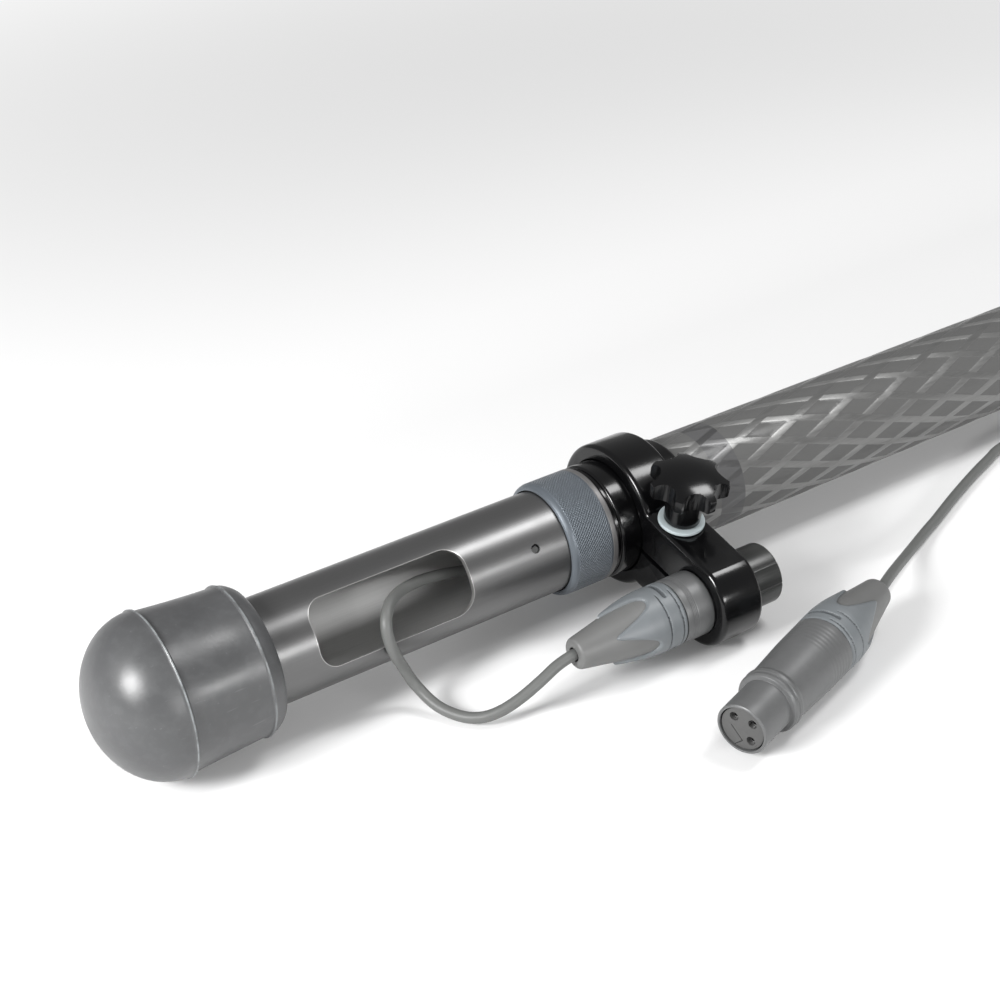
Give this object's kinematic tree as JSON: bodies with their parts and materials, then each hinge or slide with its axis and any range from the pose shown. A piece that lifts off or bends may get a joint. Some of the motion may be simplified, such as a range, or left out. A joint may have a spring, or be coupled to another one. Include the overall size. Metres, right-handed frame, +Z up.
{
  "type": "boom pole",
  "caption": "Collapsed telescopic boom pole with twist-lock tubes, rubber end cap, slotted base, swivelling connector clamp with star knob, internal cable and plug leads.",
  "frame": {"origin": "on the ground, at the middle of the pole's footprint without its loose leads", "axes": "+X along the pole from the rubber end cap to the microphone end, -Y towards the clamp's connector, +Z up"},
  "size_m": [0.808, 0.1257, 0.0525],
  "materials": {
    "rubber": "moulded dark grey rubber, satin",
    "boot_rubber": "mid-grey moulded boot, satin",
    "aluminium": "satin grey anodised",
    "blue_aluminium": "knurled, blue-grey anodised",
    "black_gloss": "glossy black",
    "black_plastic": "matt black",
    "carbon": "clear-coated carbon fibre weave, dark grey",
    "steel": "plain steel",
    "brass": "plain brass",
    "washer_plastic": "pale blue-grey",
    "connector_metal": "satin grey coated zinc",
    "cable_jacket": "satin grey cable jacket"
  },
  "bodies": {
    "pole_base": {"base_tube": "aluminium", "bulkhead": "black_plastic", "bulkhead_screw": "steel", "cable_gland": "boot_rubber", "jumper_cable": "cable_jacket", "union_bush": "aluminium", "base_collar": "black_gloss", "section_1": "carbon", "collet_1": "black_plastic", "coiled_cable": "cable_jacket"},
    "cap": {"end_cap": "rubber"},
    "ring": {"union_ring": "blue_aluminium"},
    "clamp": {"clamp_body": "black_gloss", "clamp_washer": "washer_plastic", "clamp_insert": "brass", "xlr_m_shell": "connector_metal", "xlr_m_insert": "black_plastic", "xlr_m_pin_1": "steel", "xlr_m_pin_2": "steel", "xlr_m_pin_3": "steel", "xlr_m_chuck": "black_plastic", "xlr_m_boot": "boot_rubber"},
    "knob": {"star_knob": "black_gloss", "knob_stud": "steel"},
    "lock_1": {"lock_collar_1": "black_plastic"},
    "lock_2": {"lock_collar_2": "black_plastic"},
    "lock_3": {"lock_collar_3": "black_plastic"},
    "lock_4": {"lock_collar_4": "black_plastic"},
    "tube_2": {"section_2": "carbon", "glide_bush_2": "black_plastic", "collet_2": "black_plastic"},
    "tube_3": {"section_3": "carbon", "glide_bush_3": "black_plastic", "collet_3": "black_plastic"},
    "tube_4": {"section_4": "carbon", "glide_bush_4": "black_plastic", "collet_4": "black_plastic"},
    "tube_5": {"section_5": "carbon", "glide_bush_5": "black_plastic", "tip_fitting": "aluminium", "tip_stud": "steel", "tip_washer": "rubber", "lead_gland": "boot_rubber", "mic_lead": "cable_jacket", "plug_shell": "connector_metal", "plug_insert": "black_plastic", "plug_contact_1": "brass", "plug_contact_2": "brass", "plug_contact_3": "brass", "plug_chuck": "black_plastic", "plug_boot": "boot_rubber"},
    "tip_ring": {"tip_lock_ring": "blue_aluminium"},
    "latch": {"plug_latch": "steel"}
  },
  "joints": [
    {"name": "cap_pull", "type": "slide", "parent": "pole_base", "child": "cap", "axis": [-1, 0, 0], "range_m": [0, 0.03]},
    {"name": "ring_turn", "type": "hinge", "parent": "pole_base", "child": "ring", "pos_m": [-0.248, 0.01629, 0.0246], "axis": [1, 0, 0], "range_deg": [0, 540]},
    {"name": "clamp_turn", "type": "hinge", "parent": "pole_base", "child": "clamp", "pos_m": [-0.22405, 0.01629, 0.0246], "axis": [-1, 0, 0], "range_deg": [0, 60], "deforming": ["jumper_cable"]},
    {"name": "knob_turn", "type": "hinge", "parent": "clamp", "child": "knob", "pos_m": [-0.22405, -0.00821, 0.01871], "axis": [0, -0.2336, 0.9723], "range_deg": [0, 540]},
    {"name": "lock_turn_1", "type": "hinge", "parent": "pole_base", "child": "lock_1", "pos_m": [0.246, 0.01629, 0.0246], "axis": [1, 0, 0], "range_deg": [0, 120]},
    {"name": "lock_turn_2", "type": "hinge", "parent": "tube_2", "child": "lock_2", "pos_m": [0.283, 0.01629, 0.0246], "axis": [1, 0, 0], "range_deg": [0, 120]},
    {"name": "lock_turn_3", "type": "hinge", "parent": "tube_3", "child": "lock_3", "pos_m": [0.317, 0.01629, 0.0246], "axis": [1, 0, 0], "range_deg": [0, 120]},
    {"name": "lock_turn_4", "type": "hinge", "parent": "tube_4", "child": "lock_4", "pos_m": [0.348, 0.01629, 0.0246], "axis": [1, 0, 0], "range_deg": [0, 120]},
    {"name": "slide_2", "type": "slide", "parent": "pole_base", "child": "tube_2", "axis": [1, 0, 0], "range_m": [0, 0.37], "deforming": ["coiled_cable"]},
    {"name": "slide_3", "type": "slide", "parent": "tube_2", "child": "tube_3", "axis": [1, 0, 0], "range_m": [0, 0.37]},
    {"name": "slide_4", "type": "slide", "parent": "tube_3", "child": "tube_4", "axis": [1, 0, 0], "range_m": [0, 0.37]},
    {"name": "slide_5", "type": "slide", "parent": "tube_4", "child": "tube_5", "axis": [1, 0, 0], "range_m": [0, 0.37]},
    {"name": "tip_ring_turn", "type": "hinge", "parent": "tube_5", "child": "tip_ring", "pos_m": [0.396, 0.01629, 0.0246], "axis": [1, 0, 0], "range_deg": [0, 360]},
    {"name": "latch_press", "type": "slide", "parent": "tube_5", "child": "latch", "axis": [0.2345, -0.7251, 0.6474], "range_m": [0, 0.0015], "stiffness_N_per_m": 200}
  ]
}
